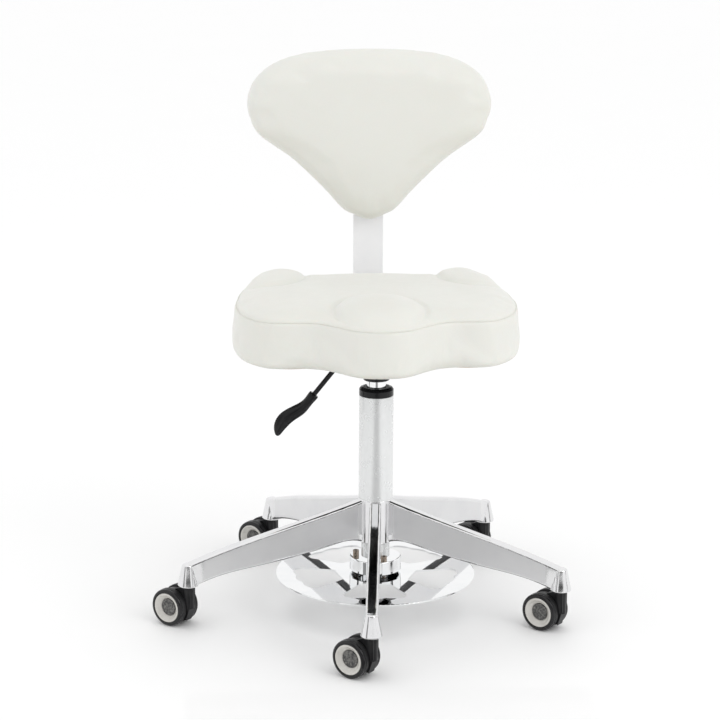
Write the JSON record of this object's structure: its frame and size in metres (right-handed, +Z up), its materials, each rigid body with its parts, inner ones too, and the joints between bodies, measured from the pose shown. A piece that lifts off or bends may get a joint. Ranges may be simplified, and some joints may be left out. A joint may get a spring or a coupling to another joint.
{
  "type": "pedicure stool",
  "caption": "Height-adjustable pedicure stool with scalloped cushioned seat, backrest, release lever, foot disc and swivelling caster base.",
  "frame": {"origin": "point on the floor on the column's axis, at rest", "axes": "+Z up, the sitter faces -Y, +X to the sitter's left"},
  "size_m": [0.6016, 0.5844, 0.799],
  "materials": {
    "polished_aluminium": "polished",
    "satin_tube": "satin silver-white",
    "black_plastic": "satin",
    "chrome": "mirror",
    "bearing_steel": "zinc plated",
    "bronzed_screws": "bronzed",
    "spring_steel": "blackened",
    "black_steel": "black powder coat",
    "plywood": "bare plywood",
    "ivory_vinyl": "smooth upholstery vinyl",
    "white_powder_coat": "white powder coat",
    "white_plastic": "satin white",
    "caster_black": "satin black",
    "caster_cap": "dark grey",
    "wheel_grey": "light grey",
    "tyre_black": "polished black polyurethane"
  },
  "bodies": {
    "base": {"base_star": "polished_aluminium", "column_tube": "satin_tube", "column_bush": "black_plastic", "thrust_bearing": "bearing_steel", "foot_cup": "chrome", "foot_guide_bolts": "bronzed_screws", "foot_hanger": "bearing_steel", "foot_springs": "spring_steel", "foot_nuts": "bearing_steel", "caster_stems": "bearing_steel"},
    "rod": {"gas_rod": "chrome", "rod_clip": "bearing_steel"},
    "seat": {"gas_cylinder": "chrome", "seat_mechanism": "black_steel", "lever_pivot_pin": "bearing_steel", "seat_bolts": "black_steel", "seat_board": "plywood", "seat_cushion": "ivory_vinyl", "back_bar": "white_powder_coat", "back_bar_bolts": "black_steel", "backrest_shell": "white_plastic", "backrest_cushion": "ivory_vinyl", "backrest_screws": "black_steel"},
    "lever": {"lever_rod": "black_steel", "lever_handle": "black_plastic"},
    "button": {"release_button": "bearing_steel"},
    "rocker": {"foot_rocker": "chrome"},
    "foot_plate": {"foot_disc": "chrome"},
    "foot_pin": {"foot_release_pin": "bearing_steel"},
    "caster_1": {"caster_1_housing": "caster_black", "caster_1_axle": "caster_cap"},
    "wheel_1_left": {"caster_1_rim_left": "wheel_grey", "caster_1_tyre_left": "tyre_black"},
    "wheel_1_right": {"caster_1_rim_right": "wheel_grey", "caster_1_tyre_right": "tyre_black"},
    "caster_2": {"caster_2_housing": "caster_black", "caster_2_axle": "caster_cap"},
    "wheel_2_left": {"caster_2_rim_left": "wheel_grey", "caster_2_tyre_left": "tyre_black"},
    "wheel_2_right": {"caster_2_rim_right": "wheel_grey", "caster_2_tyre_right": "tyre_black"},
    "caster_3": {"caster_3_housing": "caster_black", "caster_3_axle": "caster_cap"},
    "wheel_3_left": {"caster_3_rim_left": "wheel_grey", "caster_3_tyre_left": "tyre_black"},
    "wheel_3_right": {"caster_3_rim_right": "wheel_grey", "caster_3_tyre_right": "tyre_black"},
    "caster_4": {"caster_4_housing": "caster_black", "caster_4_axle": "caster_cap"},
    "wheel_4_left": {"caster_4_rim_left": "wheel_grey", "caster_4_tyre_left": "tyre_black"},
    "wheel_4_right": {"caster_4_rim_right": "wheel_grey", "caster_4_tyre_right": "tyre_black"},
    "caster_5": {"caster_5_housing": "caster_black", "caster_5_axle": "caster_cap"},
    "wheel_5_left": {"caster_5_rim_left": "wheel_grey", "caster_5_tyre_left": "tyre_black"},
    "wheel_5_right": {"caster_5_rim_right": "wheel_grey", "caster_5_tyre_right": "tyre_black"}
  },
  "joints": [
    {"name": "seat_swivel", "type": "hinge", "parent": "base", "child": "rod", "pos_m": [0, 0, 0.1], "axis": [0, 0, 1], "continuous": true},
    {"name": "seat_lift", "type": "slide", "parent": "rod", "child": "seat", "axis": [0, 0, 1], "range_m": [-0.008, 0.12]},
    {"name": "lever_tilt", "type": "hinge", "parent": "seat", "child": "lever", "pos_m": [-0.024, 0, 0.377], "axis": [0, 1, 0], "range_deg": [0, 8], "stiffness_Nm_per_rad": 2, "springref_deg": -2.86},
    {"name": "button_press", "type": "slide", "parent": "seat", "child": "button", "axis": [0, 0, -1], "range_m": [0, 0.0037]},
    {"name": "foot_tilt_front", "type": "hinge", "parent": "base", "child": "rocker", "pos_m": [0, 0, 0.05525], "axis": [1, 0, 0], "range_deg": [-3, 3], "stiffness_Nm_per_rad": 40, "deforming": ["foot_springs"]},
    {"name": "foot_tilt_side", "type": "hinge", "parent": "rocker", "child": "foot_plate", "pos_m": [0, 0, 0.05525], "axis": [0, 1, 0], "range_deg": [-3, 3], "stiffness_Nm_per_rad": 40},
    {"name": "release_pin_lift", "type": "slide", "parent": "base", "child": "foot_pin", "axis": [0, 0, 1], "range_m": [0, 0.003], "stiffness_N_per_m": 400},
    {"name": "caster_1_swivel", "type": "hinge", "parent": "base", "child": "caster_1", "pos_m": [-0.02159, -0.28057, 0.05], "axis": [0, 0, 1], "continuous": true},
    {"name": "wheel_1_left_roll", "type": "hinge", "parent": "caster_1", "child": "wheel_1_left", "pos_m": [-0.04115, -0.26501, 0.0275], "axis": [0.6225, 0.7826, 0], "continuous": true},
    {"name": "wheel_1_right_roll", "type": "hinge", "parent": "caster_1", "child": "wheel_1_right", "pos_m": [-0.04115, -0.26501, 0.0275], "axis": [0.6225, 0.7826, 0], "continuous": true},
    {"name": "caster_2_swivel", "type": "hinge", "parent": "base", "child": "caster_2", "pos_m": [0.26017, -0.10723, 0.05], "axis": [0, 0, 1], "continuous": true},
    {"name": "wheel_2_left_roll", "type": "hinge", "parent": "caster_2", "child": "wheel_2_left", "pos_m": [0.2406, -0.09167, 0.0275], "axis": [0.6225, 0.7826, 0], "continuous": true},
    {"name": "wheel_2_right_roll", "type": "hinge", "parent": "caster_2", "child": "wheel_2_right", "pos_m": [0.2406, -0.09167, 0.0275], "axis": [0.6225, 0.7826, 0], "continuous": true},
    {"name": "caster_3_swivel", "type": "hinge", "parent": "base", "child": "caster_3", "pos_m": [0.18238, 0.2143, 0.05], "axis": [0, 0, 1], "continuous": true},
    {"name": "wheel_3_left_roll", "type": "hinge", "parent": "caster_3", "child": "wheel_3_left", "pos_m": [0.16282, 0.22986, 0.0275], "axis": [0.6225, 0.7826, 0], "continuous": true},
    {"name": "wheel_3_right_roll", "type": "hinge", "parent": "caster_3", "child": "wheel_3_right", "pos_m": [0.16282, 0.22986, 0.0275], "axis": [0.6225, 0.7826, 0], "continuous": true},
    {"name": "caster_4_swivel", "type": "hinge", "parent": "base", "child": "caster_4", "pos_m": [-0.14745, 0.23968, 0.05], "axis": [0, 0, 1], "continuous": true},
    {"name": "wheel_4_left_roll", "type": "hinge", "parent": "caster_4", "child": "wheel_4_left", "pos_m": [-0.16701, 0.25524, 0.0275], "axis": [0.6225, 0.7826, 0], "continuous": true},
    {"name": "wheel_4_right_roll", "type": "hinge", "parent": "caster_4", "child": "wheel_4_right", "pos_m": [-0.16701, 0.25524, 0.0275], "axis": [0.6225, 0.7826, 0], "continuous": true},
    {"name": "caster_5_swivel", "type": "hinge", "parent": "base", "child": "caster_5", "pos_m": [-0.27351, -0.06617, 0.05], "axis": [0, 0, 1], "continuous": true},
    {"name": "wheel_5_left_roll", "type": "hinge", "parent": "caster_5", "child": "wheel_5_left", "pos_m": [-0.29308, -0.05061, 0.0275], "axis": [0.6225, 0.7826, 0], "continuous": true},
    {"name": "wheel_5_right_roll", "type": "hinge", "parent": "caster_5", "child": "wheel_5_right", "pos_m": [-0.29308, -0.05061, 0.0275], "axis": [0.6225, 0.7826, 0], "continuous": true}
  ],
  "couplings": [
    {"joint": "button_press", "follows": "lever_tilt", "m_per_rad": 0.026}
  ]
}
